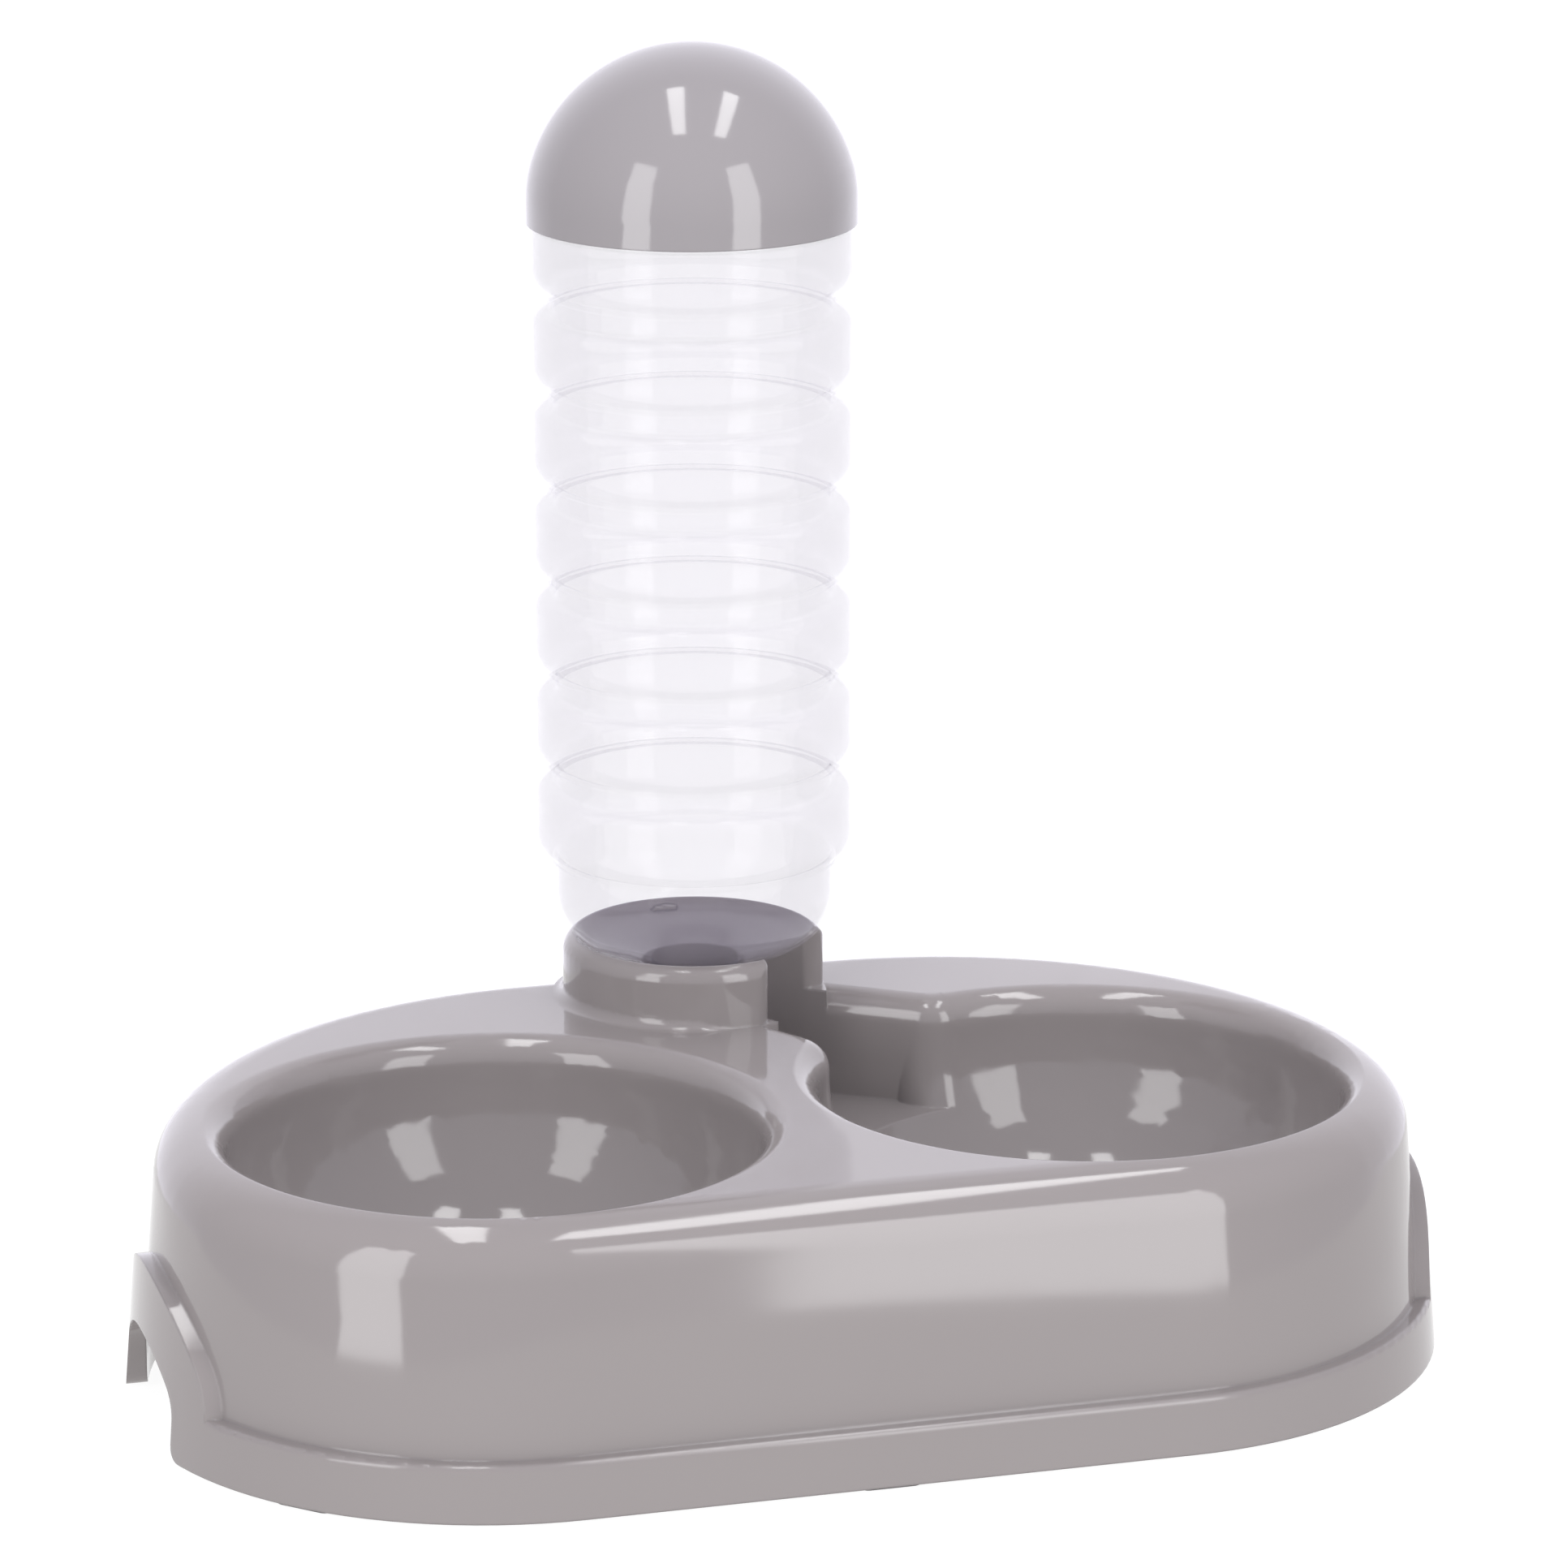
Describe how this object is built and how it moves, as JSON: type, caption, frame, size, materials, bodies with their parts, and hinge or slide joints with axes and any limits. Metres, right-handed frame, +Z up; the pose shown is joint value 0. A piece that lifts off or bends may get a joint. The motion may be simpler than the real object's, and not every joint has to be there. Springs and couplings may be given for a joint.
{
  "type": "pet bowl with water bottle",
  "caption": "Low oval tray with a food bowl, a water bowl fed by a channel, carrying handles at its ends, and a ribbed clear bottle standing neck down in a collar.",
  "frame": {"origin": "under the middle of the object's box, on the surface that the foot pads stand on", "axes": "+X from the food bowl to the water bowl, +Y from the front to the bottle, +Z up"},
  "size_m": [0.28, 0.1862, 0.2689],
  "materials": {
    "tray": "gloss",
    "bottle": "clear gloss",
    "dome_cap": "gloss",
    "foot_pads": "matte"
  },
  "bodies": {
    "root": {"tray": "tray", "bottle": "bottle", "dome_cap": "dome_cap", "foot_pads": "foot_pads"}
  },
  "joints": []
}
